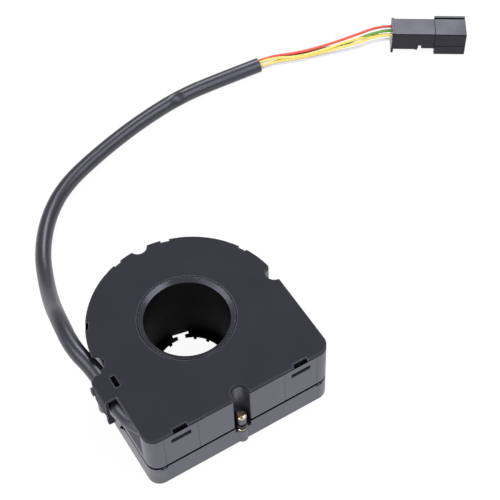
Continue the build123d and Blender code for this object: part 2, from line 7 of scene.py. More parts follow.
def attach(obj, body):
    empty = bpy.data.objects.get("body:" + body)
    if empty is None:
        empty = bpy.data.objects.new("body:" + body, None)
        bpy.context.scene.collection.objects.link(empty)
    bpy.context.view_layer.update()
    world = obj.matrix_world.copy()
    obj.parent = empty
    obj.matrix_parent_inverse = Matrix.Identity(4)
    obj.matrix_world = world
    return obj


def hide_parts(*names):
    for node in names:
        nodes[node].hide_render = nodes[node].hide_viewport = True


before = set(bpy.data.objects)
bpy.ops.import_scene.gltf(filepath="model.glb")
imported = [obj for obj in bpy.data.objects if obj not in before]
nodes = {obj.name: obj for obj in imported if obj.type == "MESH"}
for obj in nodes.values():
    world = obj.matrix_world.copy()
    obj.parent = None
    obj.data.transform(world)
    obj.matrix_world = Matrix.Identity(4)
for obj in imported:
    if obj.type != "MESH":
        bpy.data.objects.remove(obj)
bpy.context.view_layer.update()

# Base housing
# The lower shell of the sensor, with four screw lugs and a bearing collar for the rotor.
# It is black glass-filled PBT, injection moulded in a spark-eroded tool, so its skin is evenly
# grained and half glossy.


def linear(hex_colour):
    """An sRGB hex colour as linear values with full alpha."""
    values = [int(hex_colour[k:k + 2], 16) / 255 for k in (1, 3, 5)]
    return [v / 12.92 if v <= 0.04045 else ((v + 0.055) / 1.055) ** 2.4 for v in values] + [1.0]


def add_node(tree, kind, settings=None, inputs=None):
    """Add a node, set its settings, then set or link its inputs by name or number."""
    node = tree.nodes.new(kind)
    for name, value in (settings or {}).items():
        setattr(node, name, value)
    for name, value in (inputs or {}).items():
        if isinstance(value, bpy.types.NodeSocket):
            tree.links.new(value, node.inputs[name])
        else:
            node.inputs[name].default_value = value
    return node


def empty_material(name):
    material = bpy.data.materials.new(name)
    material.use_nodes = True
    material.node_tree.nodes.clear()
    return material, material.node_tree


def finish_material(tree, shader):
    add_node(tree, "ShaderNodeOutputMaterial", inputs={"Surface": shader})


# Most of a noise texture's values lie between these two
noise_low, noise_high = 0.3, 0.7


def moulded(name, colour, roughness, grain_mm, grain_height_mm, cloud_mm=14.0, cloud=0.10,
            specular=0.5, ior=1.55, tint="#ffffff", edge_mm=0.2, edge_wear_and_highlight="#6a6a70", edge_wear_and_highlight_share=(0.0, 0.5),
            joints=(), dent=None):
    """Moulded plastic: grain in the bump, slow clouds of tone and gloss from the melt's flow, and
    edges that are a little round and drawn paler, as rubbed wear and, where strong as on the lid, as
    a painted highlight. Real grain is 0.1 mm or less and is drawn a few times as coarse, so that it
    shows. Between the two heights of a joint's band, in mm, the skin is painted black and takes no
    light: painted shade in the joint's gap. A dent has its middle, its reach and its depth in mm."""
    material, tree = empty_material(name)
    place = add_node(tree, "ShaderNodeTexCoord").outputs["Object"]
    grain = add_node(tree, "ShaderNodeTexNoise", inputs={
        "Vector": place, "Scale": 1000 / grain_mm, "Detail": 3.0, "Roughness": 0.6})
    cloud_noise = add_node(tree, "ShaderNodeTexNoise", inputs={
        "Vector": place, "Scale": 1000 / cloud_mm, "Detail": 4.0, "Roughness": 0.55})
    tone = add_node(tree, "ShaderNodeMapRange", inputs={
        "Value": cloud_noise.outputs["Fac"], "From Min": noise_low, "From Max": noise_high,
        "To Min": 1 - cloud, "To Max": 1 + cloud})
    fleck = add_node(tree, "ShaderNodeMapRange", inputs={
        "Value": grain.outputs["Fac"], "From Min": 0.35, "From Max": 0.65, "To Min": 0.90, "To Max": 1.10})
    shade = add_node(tree, "ShaderNodeMath", {"operation": "MULTIPLY"}, {
        0: tone.outputs["Result"], 1: fleck.outputs["Result"]})
    mix = add_node(tree, "ShaderNodeVectorMath", {"operation": "SCALE"}, {
        0: linear(colour)[:3], "Scale": shade.outputs["Value"]})
    rounded = add_node(tree, "ShaderNodeBevel", {"samples": 4}, {"Radius": edge_mm / 1000})
    flat = add_node(tree, "ShaderNodeNewGeometry").outputs["Normal"]
    turn = add_node(tree, "ShaderNodeVectorMath", {"operation": "DOT_PRODUCT"}, {
        0: rounded.outputs["Normal"], 1: flat})
    edge = add_node(tree, "ShaderNodeMapRange", inputs={
        "Value": turn.outputs["Value"], "From Min": 0.99, "From Max": 0.80})
    patchy = add_node(tree, "ShaderNodeMapRange", inputs={
        "Value": cloud_noise.outputs["Fac"], "From Min": 0.40, "From Max": 0.62,
        "To Min": edge_wear_and_highlight_share[0], "To Max": edge_wear_and_highlight_share[1]})
    # Edges drawn paler: rubbed wear, and where the share is high, as on the lid, a painted highlight along
    # the edge
    wear_and_highlight_mask = add_node(tree, "ShaderNodeMath", {"operation": "MULTIPLY"}, {
        0: edge.outputs["Result"], 1: patchy.outputs["Result"]})
    worn_and_highlit = add_node(tree, "ShaderNodeMix", {"data_type": "VECTOR"}, {
        0: wear_and_highlight_mask.outputs["Value"], 4: mix.outputs["Vector"], 5: linear(edge_wear_and_highlight)[:3]})
    gloss = add_node(tree, "ShaderNodeMapRange", inputs={
        "Value": cloud_noise.outputs["Fac"], "From Min": noise_low, "From Max": noise_high,
        "To Min": roughness - 0.04, "To Max": roughness + 0.05})
    surface = rounded.outputs["Normal"]
    if dent:
        away = add_node(tree, "ShaderNodeVectorMath", {"operation": "DISTANCE"}, {
            0: place, 1: [v / 1000 for v in dent[0]]})
        bowl = add_node(tree, "ShaderNodeMapRange", {"interpolation_type": "SMOOTHSTEP"}, {
            "Value": away.outputs["Value"], "From Max": dent[1] / 1000})
        surface = add_node(tree, "ShaderNodeBump", inputs={
            "Strength": 1.0, "Distance": dent[2] / 1000, "Height": bowl.outputs["Result"],
            "Normal": surface}).outputs["Normal"]
    bump = add_node(tree, "ShaderNodeBump", inputs={
        "Strength": 0.5, "Distance": grain_height_mm / 1000, "Height": grain.outputs["Fac"],
        "Normal": surface})
    shader = add_node(tree, "ShaderNodeBsdfPrincipled", inputs={
        "Base Color": worn_and_highlit.outputs[1], "Roughness": gloss.outputs["Result"],
        "Normal": bump.outputs["Normal"], "IOR": ior, "Specular IOR Level": specular,
        "Specular Tint": linear(tint)})
    for low, high in joints:
        height = add_node(tree, "ShaderNodeSeparateXYZ", inputs={"Vector": place}).outputs["Z"]
        over = add_node(tree, "ShaderNodeMath", {"operation": "GREATER_THAN"}, {0: height, 1: low / 1000})
        under = add_node(tree, "ShaderNodeMath", {"operation": "LESS_THAN"}, {0: height, 1: high / 1000})
        shaded_band_mask = add_node(tree, "ShaderNodeMath", {"operation": "MULTIPLY"}, {
            0: over.outputs["Value"], 1: under.outputs["Value"]})
        # Painted shade: inside the band the skin is drawn black and dull, in place of the shade in the
        # joint's gap
        painted_shade = add_node(tree, "ShaderNodeBsdfDiffuse", inputs={"Color": linear("#0a0a0c")})
        shader = add_node(tree, "ShaderNodeMixShader", inputs={
            "Fac": shaded_band_mask.outputs["Value"], 1: shader.outputs[0], 2: painted_shade.outputs["BSDF"]})
    finish_material(tree, shader.outputs[0])
    return material


def recut(name, node, material, cut=(), added=()):
    """A copy of a carried-over solid, welded, with small prisms cut out of it and joined to it, which
    stands in for the solid and stays with the housing. Each prism has the axis it runs along, its two
    ends, and its outline across that axis, in mm."""
    merge_distance = 0.000002
    welded = bmesh.new()
    welded.from_mesh(nodes[node].data)
    bmesh.ops.remove_doubles(welded, verts=welded.verts, dist=merge_distance)
    mesh = bpy.data.meshes.new(name)
    welded.to_mesh(mesh)
    welded.free()
    mesh.materials.clear()
    mesh.materials.append(material)
    piece = bpy.data.objects.new(name, mesh)
    bpy.context.scene.collection.objects.link(piece)
    tools = []
    for operation, prisms in (("DIFFERENCE", cut), ("UNION", added)):
        for axis, ends, outline in prisms:
            tool = bmesh.new()
            rings = []
            for end in ends:
                corners = [(end, a, b) if axis == "X" else (a, end, b) for a, b in outline]
                rings.append([tool.verts.new(Vector(corner) / 1000) for corner in corners])
                tool.faces.new(rings[-1])
            for k in range(len(outline)):
                tool.faces.new((rings[0][k - 1], rings[0][k], rings[1][k], rings[1][k - 1]))
            bmesh.ops.recalc_face_normals(tool, faces=tool.faces)
            tool_mesh = bpy.data.meshes.new(name + "_tool")
            tool.to_mesh(tool_mesh)
            tool.free()
            tools.append(bpy.data.objects.new(name + "_tool", tool_mesh))
            bpy.context.scene.collection.objects.link(tools[-1])
            step = piece.modifiers.new("recut", "BOOLEAN")
            step.operation = operation
            step.solver = "EXACT"
            step.object = tools[-1]
    bpy.context.view_layer.update()
    ready = piece.evaluated_get(bpy.context.evaluated_depsgraph_get())
    plain = bpy.data.meshes.new_from_object(ready)
    piece.modifiers.clear()
    piece.data = plain
    for tool in tools:
        bpy.data.objects.remove(tool)
    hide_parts(node)
    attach(piece, "housing")
    return piece


# On the left side the joint with the upper shell ends at the rear in a small notch in both shells
seam_notch = ("X", (-41.0, -38.9), (
    (-15.5, 13.1), (-13.6, 7.7), (-18.0, 13.5), (-20.0, 14.1), (-19.9, 17.1)))
# The walls shine softly and a little blue, the grain breaks the shine up, and the joint's gap is painted
# black as painted shade
bluish = "#e6e6fc"
base_pbt = moulded("pbt_black_spark_grain", "#34343e", 0.36, 0.45, 0.010, specular=0.95,
                   tint=bluish, joints=((14.7, 15.84),))
lower_shell = recut("lower_shell", "base_housing", base_pbt, cut=[seam_notch])

# Track ring
# The measuring track: a punched fibreglass ring with two printed rings of carbon ink, which the
# brushes slide on, and the tinned pins that carry its signals up to the board.


def dress(node, material):
    """Give a carried-over solid its material."""
    slots = nodes[node].data.materials
    slots.clear()
    slots.append(material)


def bare_metal(name, colour, roughness, grain_mm, stretch=(1.0, 1.0, 1.0)):
    """Bare metal with rolling, turning or drawing marks. Real ones are hundredths of a mm wide and
    are drawn 0.2 mm or more, so that they show. Where the stretch is low, the marks run long."""
    material, tree = empty_material(name)
    place = add_node(tree, "ShaderNodeTexCoord").outputs["Object"]
    turned = add_node(tree, "ShaderNodeMapping", inputs={"Vector": place, "Scale": stretch})
    marks = add_node(tree, "ShaderNodeTexNoise", inputs={
        "Vector": turned.outputs["Vector"], "Scale": 1000 / grain_mm, "Detail": 4.0})
    gloss = add_node(tree, "ShaderNodeMapRange", inputs={
        "Value": marks.outputs["Fac"], "From Min": noise_low, "From Max": noise_high,
        "To Min": max(roughness - 0.08, 0.05), "To Max": roughness + 0.1})
    tone = add_node(tree, "ShaderNodeMapRange", inputs={
        "Value": marks.outputs["Fac"], "From Min": noise_low, "From Max": noise_high,
        "To Min": 0.88, "To Max": 1.08})
    mix = add_node(tree, "ShaderNodeVectorMath", {"operation": "SCALE"}, {
        0: linear(colour)[:3], "Scale": tone.outputs["Result"]})
    bump = add_node(tree, "ShaderNodeBump", inputs={
        "Strength": 0.4, "Distance": 0.00001, "Height": marks.outputs["Fac"]})
    shader = add_node(tree, "ShaderNodeBsdfPrincipled", inputs={
        "Base Color": mix.outputs["Vector"], "Metallic": 1.0, "Roughness": gloss.outputs["Result"],
        "Normal": bump.outputs["Normal"]})
    finish_material(tree, shader.outputs["BSDF"])
    return material


# A dull yellow green
dress("track_ring", moulded("fibreglass_laminate_punched", "#8a8a58", 0.45, 0.5, 0.006))
# Dark, smooth and a little shiny
dress("resistive_tracks", moulded("carbon_ink_printed", "#141414", 0.35, 0.2, 0.004))
# Pale and bright
tin = bare_metal("tin_plated", "#c9c8c2", 0.25, 0.2)
dress("solder_pins", tin)

# Rotor
# The turning sleeve with its flared rim, two retaining shoulders and the drive flange with 15 teeth
# and a T slot. Acetal, which runs dry in the housing. The flare is turned after moulding, which
# leaves fine rings on it. The bore and all below the flare are drawn near black and almost without
# shine: painted shade inside the deep bore.


def lathe(tree, sizes, profile, steps):
    """A turned body. Each profile point has a named radius and what is added to it in mm, then the
    same for its height. The points run up the outside, then down the inside of a hollow body."""
    merge_distance = 0.000001
    grid = add_node(tree, "GeometryNodeMeshGrid", inputs={
        "Size X": 1.0, "Size Y": 1.0, "Vertices X": steps + 1, "Vertices Y": len(profile)})
    index = add_node(tree, "GeometryNodeInputIndex").outputs["Index"]
    row = add_node(tree, "FunctionNodeIntegerMath", {"operation": "MODULO"}, {0: index, 1: len(profile)})
    column = add_node(tree, "FunctionNodeIntegerMath", {"operation": "DIVIDE_FLOOR"}, {
        0: index, 1: len(profile)})
    values = []
    for first in (0, 2):
        choice = add_node(tree, "GeometryNodeIndexSwitch", {"data_type": "FLOAT"}, {0: row.outputs[0]})
        while len(choice.index_switch_items) < len(profile):
            choice.index_switch_items.new()
        for k, point in enumerate(profile):
            size, more = point[first:first + 2]
            total = add_node(tree, "ShaderNodeMath", {"operation": "ADD"}, {0: sizes[size], 1: more / 1000})
            tree.links.new(total.outputs["Value"], choice.inputs[k + 1])
        values.append(choice.outputs[0])
    angle = add_node(tree, "ShaderNodeMath", {"operation": "MULTIPLY"}, {
        0: column.outputs[0], 1: 2 * math.pi / steps})
    flat_point = add_node(tree, "ShaderNodeCombineXYZ", inputs={"X": values[0], "Z": values[1]})
    point = add_node(tree, "ShaderNodeVectorRotate", {"rotation_type": "Z_AXIS"}, {
        "Vector": flat_point.outputs["Vector"], "Angle": angle.outputs["Value"]})
    turned = add_node(tree, "GeometryNodeSetPosition", inputs={
        "Geometry": grid.outputs["Mesh"], "Position": point.outputs["Vector"]})
    return add_node(tree, "GeometryNodeMergeByDistance", inputs={
        "Geometry": turned.outputs["Geometry"], "Distance": merge_distance}).outputs["Geometry"]


def node_tree(name, sizes):
    """A geometry tree with a named input for each size, and one for the material."""
    tree = bpy.data.node_groups.new(name, "GeometryNodeTree")
    for size in sizes:
        tree.interface.new_socket(size, in_out="INPUT", socket_type="NodeSocketFloat")
    tree.interface.new_socket("Material", in_out="INPUT", socket_type="NodeSocketMaterial")
    tree.interface.new_socket("Mesh", in_out="OUTPUT", socket_type="NodeSocketGeometry")
    return tree, add_node(tree, "NodeGroupInput").outputs


def finished_piece(name, tree, sizes, material, mesh, zone=None, zone_material=None):
    """End the tree, run it once with these sizes in mm, and keep its result as a plain mesh. The
    faces in the zone take the second material."""
    sharp_turn = math.radians(24)
    real = add_node(tree, "GeometryNodeRealizeInstances", inputs={"Geometry": mesh})
    smooth = add_node(tree, "GeometryNodeSetShadeSmooth", {"domain": "FACE"}, {
        "Geometry": real.outputs["Geometry"], "Shade Smooth": True})
    bend = add_node(tree, "GeometryNodeInputMeshEdgeAngle")
    sharp = add_node(tree, "ShaderNodeMath", {"operation": "GREATER_THAN"}, {
        0: bend.outputs["Unsigned Angle"], 1: sharp_turn})
    creased = add_node(tree, "GeometryNodeSetShadeSmooth", {"domain": "EDGE"}, {
        "Geometry": smooth.outputs["Geometry"], "Selection": sharp.outputs["Value"], "Shade Smooth": False})
    painted = add_node(tree, "GeometryNodeSetMaterial", inputs={
        "Geometry": creased.outputs["Geometry"],
        "Material": tree.nodes["Group Input"].outputs["Material"]})
    if zone:
        painted = add_node(tree, "GeometryNodeSetMaterial", inputs={
            "Geometry": painted.outputs["Geometry"], "Selection": zone, "Material": zone_material})
    add_node(tree, "NodeGroupOutput", inputs={"Mesh": painted.outputs["Geometry"]})
    piece = bpy.data.objects.new(name, bpy.data.meshes.new(name))
    bpy.context.scene.collection.objects.link(piece)
    maker = piece.modifiers.new("maker", "NODES")
    maker.node_group = tree
    for socket in tree.interface.items_tree:
        if socket.name in sizes:
            maker[socket.identifier] = sizes[socket.name] / 1000
        elif socket.name == "Material":
            maker[socket.identifier] = material
    bpy.context.view_layer.update()
    ready = piece.evaluated_get(bpy.context.evaluated_depsgraph_get())
    plain = bpy.data.meshes.new_from_object(ready)
    piece.modifiers.remove(maker)
    piece.data = plain
    return piece


hub_sizes = {
    "Bore radius": 17.11, "Sleeve radius": 18.6, "Rim radius": 19.27, "Flange inner radius": 14.45,
    "Shoulder radius": 21.0, "Upper shoulder radius": 20.6, "Ground": 0.0, "Flange top": 1.2,
    "Shoulder": 7.2, "Upper shoulder": 34.9, "Flare": 36.21, "Top": 37.5,
    "Tooth height": 0.9, "Tooth width": 1.2, "Slot neck width": 3.3, "Slot neck radius": 15.6,
    "Slot back width": 7.0, "Slot back radius": 17.4,
}
flare_mouth = -0.2
hub_outside = [
    ("Flange inner radius", 0.15, "Ground", 0.0), ("Sleeve radius", -0.25, "Ground", 0.0),
    ("Sleeve radius", 0.0, "Ground", 0.25), ("Sleeve radius", 0.0, "Shoulder", 0.0),
    ("Shoulder radius", -0.15, "Shoulder", 0.0), ("Shoulder radius", 0.0, "Shoulder", 0.15),
    ("Shoulder radius", 0.0, "Shoulder", 1.85), ("Shoulder radius", -0.15, "Shoulder", 2.0),
    ("Sleeve radius", 0.0, "Shoulder", 2.0), ("Sleeve radius", 0.0, "Upper shoulder", 0.0),
    ("Upper shoulder radius", 0.0, "Upper shoulder", 0.0),
    ("Upper shoulder radius", 0.0, "Upper shoulder", 1.2), ("Sleeve radius", 0.0, "Upper shoulder", 1.2),
    ("Sleeve radius", 0.0, "Flare", 0.0), ("Rim radius", 0.0, "Flare", 0.0),
    ("Rim radius", 0.0, "Top", -0.08), ("Rim radius", -0.08, "Top", 0.0),
    ("Rim radius", flare_mouth, "Top", 0.0),
]
# The flare, with shallow rings from the turning tool, drawn 0.44 mm apart so that they show
ring_count = 5
ring_shape = ((0.06, 0.044), (0.02, -0.01), (-0.05, -0.036))
flare_foot = (17.31 - hub_sizes["Rim radius"], -1.29)
flare_rings = []
for k in range(1, ring_count):
    share = k / ring_count
    r = flare_mouth + share * (flare_foot[0] - flare_mouth)
    z = share * flare_foot[1]
    flare_rings += [("Rim radius", r + out, "Top", z + up) for out, up in ring_shape]
hub_inside = [
    ("Rim radius", flare_foot[0], "Top", flare_foot[1]), ("Bore radius", 0.04, "Flare", 0.0),
    ("Bore radius", 0.0, "Flare", -0.04), ("Bore radius", 0.0, "Flange top", 0.0),
    ("Flange inner radius", 0.15, "Flange top", 0.0), ("Flange inner radius", 0.0, "Flange top", -0.15),
    ("Flange inner radius", 0.0, "Ground", 0.15), ("Flange inner radius", 0.15, "Ground", 0.0),
]
tree, sizes = node_tree("rotor_sleeve", hub_sizes)
sleeve = lathe(tree, sizes, hub_outside + flare_rings + hub_inside, 180)
# Sixteen places round the flange, of which the T slot takes the first. A tooth runs back into the
# flange by its root, and is a little lower, so that the two share no face.
tooth_count = 16
tooth_root = 0.0003
tooth_lower = 0.0002
slot_turn = math.radians(77.8)
tooth_reach = add_node(tree, "ShaderNodeMath", {"operation": "ADD"}, {
    0: sizes["Tooth height"], 1: tooth_root})
tooth_size = add_node(tree, "ShaderNodeCombineXYZ", inputs={
    "X": tooth_reach.outputs["Value"], "Y": sizes["Tooth width"], "Z": sizes["Flange top"]})
tooth_trim = add_node(tree, "ShaderNodeVectorMath", {"operation": "SUBTRACT"}, {
    0: tooth_size.outputs["Vector"], 1: (0.0, 0.0, tooth_lower)})
tooth = add_node(tree, "GeometryNodeMeshCube", inputs={"Size": tooth_trim.outputs["Vector"]})
half_tooth = add_node(tree, "ShaderNodeMath", {"operation": "MULTIPLY"}, {
    0: sizes["Tooth height"], 1: -0.5})
tooth_middle = add_node(tree, "ShaderNodeMath", {"operation": "ADD"}, {
    0: half_tooth.outputs["Value"], 1: tooth_root / 2})
tooth_r = add_node(tree, "ShaderNodeMath", {"operation": "ADD"}, {
    0: sizes["Flange inner radius"], 1: tooth_middle.outputs["Value"]})
tooth_row = add_node(tree, "GeometryNodeMeshCircle", inputs={
    "Vertices": tooth_count, "Radius": tooth_r.outputs["Value"]})
tooth_index = add_node(tree, "GeometryNodeInputIndex").outputs["Index"]
tooth_angle = add_node(tree, "ShaderNodeMath", {"operation": "MULTIPLY"}, {
    0: tooth_index, 1: 2 * math.pi / tooth_count})
tooth_turn = add_node(tree, "ShaderNodeCombineXYZ", inputs={"Z": tooth_angle.outputs["Value"]})
not_slot = add_node(tree, "FunctionNodeCompare", {"data_type": "INT", "operation": "GREATER_THAN"}, {
    2: tooth_index, 3: 0})
teeth = add_node(tree, "GeometryNodeInstanceOnPoints", inputs={
    "Points": tooth_row.outputs["Mesh"], "Selection": not_slot.outputs["Result"],
    "Instance": tooth.outputs["Mesh"], "Rotation": tooth_turn.outputs["Vector"]})
half_flange = add_node(tree, "ShaderNodeMath", {"operation": "MULTIPLY"}, {0: sizes["Flange top"], 1: 0.5})
teeth_lift = add_node(tree, "ShaderNodeCombineXYZ", inputs={"Z": half_flange.outputs["Value"]})
teeth_ring = add_node(tree, "GeometryNodeTransform", inputs={
    "Geometry": teeth.outputs["Instances"], "Translation": teeth_lift.outputs["Vector"],
    "Rotation": (0, 0, slot_turn)})
real_teeth = add_node(tree, "GeometryNodeRealizeInstances", inputs={
    "Geometry": teeth_ring.outputs["Geometry"]})
toothed = add_node(tree, "GeometryNodeMeshBoolean", {"operation": "UNION", "solver": "EXACT"})
tree.links.new(sleeve, toothed.inputs["Mesh 2"])
tree.links.new(real_teeth.outputs["Geometry"], toothed.inputs["Mesh 2"])
slot_cut = add_node(tree, "GeometryNodeMeshBoolean", {"operation": "DIFFERENCE", "solver": "EXACT"}, {
    "Mesh 1": toothed.outputs["Mesh"]})
# The neck's cutter starts 2 mm inside the flange's hole and ends 0.1 mm inside the back's, and both
# reach through the flange
cutter_height = 0.004
for inner, start_more, outer, end_more, width in (
        ("Flange inner radius", -0.002, "Slot neck radius", 0.0001, "Slot neck width"),
        ("Slot neck radius", 0.0, "Slot back radius", 0.0, "Slot back width")):
    start = add_node(tree, "ShaderNodeMath", {"operation": "ADD"}, {0: sizes[inner], 1: start_more})
    end = add_node(tree, "ShaderNodeMath", {"operation": "ADD"}, {0: sizes[outer], 1: end_more})
    length = add_node(tree, "ShaderNodeMath", {"operation": "SUBTRACT"}, {
        0: end.outputs["Value"], 1: start.outputs["Value"]})
    both_ends = add_node(tree, "ShaderNodeMath", {"operation": "ADD"}, {
        0: end.outputs["Value"], 1: start.outputs["Value"]})
    middle = add_node(tree, "ShaderNodeMath", {"operation": "MULTIPLY"}, {
        0: both_ends.outputs["Value"], 1: 0.5})
    cutter_size = add_node(tree, "ShaderNodeCombineXYZ", inputs={
        "X": length.outputs["Value"], "Y": sizes[width], "Z": cutter_height})
    cutter = add_node(tree, "GeometryNodeMeshCube", inputs={"Size": cutter_size.outputs["Vector"]})
    cutter_place = add_node(tree, "ShaderNodeCombineXYZ", inputs={"X": middle.outputs["Value"]})
    placed = add_node(tree, "GeometryNodeTransform", inputs={
        "Geometry": cutter.outputs["Mesh"], "Translation": cutter_place.outputs["Vector"]})
    swung = add_node(tree, "GeometryNodeTransform", inputs={
        "Geometry": placed.outputs["Geometry"], "Rotation": (0, 0, slot_turn)})
    tree.links.new(swung.outputs["Geometry"], slot_cut.inputs["Mesh 2"])
# The bore is drawn near black and nearly without shine, as painted shade, and the turned rim is smooth and
# shines
bore_acetal_painted_shade = moulded("acetal_black_painted_shade", "#060608", 0.60, 0.6, 0.003, cloud=0.05, specular=0.04)
rim_acetal = moulded("acetal_black_turned", "#24232b", 0.24, 0.35, 0.0005, cloud=0.05, specular=0.9,
                     tint=bluish, edge_mm=0.05, edge_wear_and_highlight="#2a2932")
face_place = add_node(tree, "GeometryNodeInputPosition").outputs["Position"]
face_height = add_node(tree, "ShaderNodeSeparateXYZ", inputs={"Vector": face_place}).outputs["Z"]
on_rim = add_node(tree, "ShaderNodeMath", {"operation": "GREATER_THAN"}, {
    0: face_height, 1: sizes["Flare"]})
hub = finished_piece("rotor_sleeve", tree, hub_sizes, bore_acetal_painted_shade, slot_cut.outputs["Mesh"],
                     on_rim.outputs["Value"], rim_acetal)
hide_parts("rotor_hub")
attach(hub, "rotor")

# Wiper carrier and its two brushes
# A moulded acetal disc on the hub's shoulder, in its natural colour. The brushes are bare beryllium
# copper strip, stamped and bent.
# The disc is creamy and satin
dress("wiper_carrier", moulded("acetal_natural_satin", "#b7b09e", 0.40, 0.6, 0.003, cloud=0.04))
# Warm and bright, with fine rolling lines
brush_copper = bare_metal("beryllium_copper_rolled", "#d9a066", 0.28, 0.3, (1.0, 6.0, 6.0))
dress("brush_a", brush_copper)
dress("brush_b", brush_copper)

# Circuit board and the parts on it
# Fibreglass under green solder mask, with chips moulded in epoxy, a drawn steel crystal can and two
# aluminium capacitor cans soldered to it.
# The mask is a glossy green
dress("circuit_board", moulded("solder_mask_green", "#1d5a2c", 0.25, 0.4, 0.003, cloud=0.05))
# Dull dark grey
chip_epoxy = moulded("epoxy_black_moulded", "#1f1f22", 0.55, 0.12, 0.003)
for part in ("microcontroller", "bus_transceiver", "voltage_regulator", "chip_resistors"):
    dress(part, chip_epoxy)
# Bright, with drawing lines that run up the cans
drawn_can = bare_metal("aluminium_drawn", "#c8c9cc", 0.30, 0.4, (1.0, 1.0, 0.15))
dress("crystal", drawn_can)
dress("capacitors", drawn_can)
# Even grey with a satin skin
dress("inner_leads", moulded("pvc_grey_extruded", "#8d8a86", 0.40, 0.3, 0.002))

# Middle housing
# The upper shell, which sits on the base's tongue: the same moulded and grained PBT, with four U
# notches, the channel for the cable, windows for the lid's hooks, and a relief under the lid's window.
# The same soft bluish shine, with painted shade in the joint at its foot and in a second dark band under
# the lid
upper_pbt = moulded("pbt_black_spark_grain_upper", "#34343e", 0.36, 0.45, 0.010, specular=0.95,
                    tint=bluish, joints=((14.7, 16.1), (35.6, 36.25)))
relief = ("X", (-37.5, -35.3), ((-13.9, 27.25), (-13.9, 36.75), (-7.1, 36.75), (-7.1, 27.25)))
# The floor at the front end of the channel slopes down to the outside
slope = ("Y", (-35.4, -18.0), ((-40.1, 19.0), (-40.1, 19.75), (-36.6, 24.6), (-36.6, 19.0)))
upper_shell = recut("upper_shell", "middle_housing", upper_pbt, cut=[relief, seam_notch], added=[slope])

# Case screws and their inserts
# Four small pan head screws, yellow passivated steel with a cross recess, which clamp the bosses of
# the upper shell onto turned and knurled bushes, pressed into the base's lugs.
screw_sizes = {
    "Head radius": 2.15, "Head height": 1.5, "Shank radius": 1.25, "Shank length": 12.5, "Seat": 0.0,
    "Recess width": 0.62, "Recess length": 2.5, "Recess depth": 0.75, "Circle radius": 40.25,
    "Underside of the heads": 20.0,
}
screw_profile = [
    ("Seat", 0.0, "Shank foot", 0.0), ("Shank radius", -0.3, "Shank foot", 0.0),
    ("Shank radius", 0.0, "Shank foot", 0.4), ("Shank radius", 0.0, "Seat", 0.0),
    ("Head radius", -0.05, "Seat", 0.0), ("Head radius", 0.0, "Seat", 0.1),
    ("Head radius", 0.0, "Seat", 0.5), ("Head radius", -0.06, "Head height", -0.68),
    ("Head radius", -0.2, "Head height", -0.46), ("Head radius", -0.46, "Head height", -0.26),
    ("Head radius", -0.85, "Head height", -0.11), ("Head radius", -1.4, "Head height", -0.02),
    ("Seat", 0.0, "Head height", 0.0),
]
tree, sizes = node_tree("pan_head_screws", screw_sizes)
shank_foot = add_node(tree, "ShaderNodeMath", {"operation": "MULTIPLY"}, {
    0: sizes["Shank length"], 1: -1.0})
places = {name: sizes[name] for name in screw_sizes}
places["Shank foot"] = shank_foot.outputs["Value"]
blank = lathe(tree, places, screw_profile, 40)
recess = add_node(tree, "GeometryNodeMeshBoolean", {"operation": "DIFFERENCE", "solver": "EXACT"}, {
    "Mesh 1": blank})
blade_height = add_node(tree, "ShaderNodeMath", {"operation": "MULTIPLY"}, {
    0: sizes["Recess depth"], 1: 2.0})
blade_place = add_node(tree, "ShaderNodeCombineXYZ", inputs={"Z": sizes["Head height"]})
for blade_turn in (0.0, math.pi / 2):
    blade_size = add_node(tree, "ShaderNodeCombineXYZ", inputs={
        "X": sizes["Recess length"], "Y": sizes["Recess width"], "Z": blade_height.outputs["Value"]})
    blade = add_node(tree, "GeometryNodeMeshCube", inputs={"Size": blade_size.outputs["Vector"]})
    placed = add_node(tree, "GeometryNodeTransform", inputs={
        "Geometry": blade.outputs["Mesh"], "Translation": blade_place.outputs["Vector"],
        "Rotation": (0, 0, blade_turn)})
    tree.links.new(placed.outputs["Geometry"], recess.inputs["Mesh 2"])
spots = add_node(tree, "GeometryNodeMeshCircle", inputs={"Vertices": 4, "Radius": sizes["Circle radius"]})
# Each screw stopped at a turn of its own
any_turn = add_node(tree, "FunctionNodeRandomValue", {"data_type": "FLOAT_VECTOR"}, {
    0: (0, 0, 0.45), 1: (0, 0, 1.35), "Seed": 4})
row = add_node(tree, "GeometryNodeInstanceOnPoints", inputs={
    "Points": spots.outputs["Mesh"], "Instance": recess.outputs["Mesh"], "Rotation": any_turn.outputs[0]})
lift = add_node(tree, "ShaderNodeCombineXYZ", inputs={"Z": sizes["Underside of the heads"]})
lifted = add_node(tree, "GeometryNodeTransform", inputs={
    "Geometry": row.outputs["Instances"], "Translation": lift.outputs["Vector"]})
# Pale straw yellow, and bright
passivated = bare_metal("steel_passivated", "#cdbba2", 0.20, 0.25)
screws = finished_piece("pan_head_screws", tree, screw_sizes, passivated, lifted.outputs["Geometry"])
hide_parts("case_screws")
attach(screws, "housing")

insert_sizes = {
    "Barrel radius": 1.9, "Flange radius": 2.3, "Thread radius": 1.27, "Foot": 7.0, "Lug top": 11.8,
    "Flange top": 12.6, "Barrel top": 15.0, "Circle radius": 40.25, "Rib size": 0.26,
}
insert_profile = [
    ("Thread radius", 0.2, "Foot", 0.0), ("Barrel radius", -0.2, "Foot", 0.0),
    ("Barrel radius", 0.0, "Foot", 0.2), ("Barrel radius", 0.0, "Lug top", 0.0),
    ("Flange radius", -0.08, "Lug top", 0.0), ("Flange radius", 0.0, "Lug top", 0.12),
    ("Flange radius", 0.0, "Flange top", -0.15), ("Flange radius", -0.12, "Flange top", 0.0),
    ("Barrel radius", 0.0, "Flange top", 0.0), ("Barrel radius", 0.0, "Barrel top", -0.15),
    ("Barrel radius", -0.15, "Barrel top", 0.0), ("Thread radius", 0.0, "Barrel top", 0.0),
    ("Thread radius", 0.0, "Foot", 0.2), ("Thread radius", 0.2, "Foot", 0.0),
]
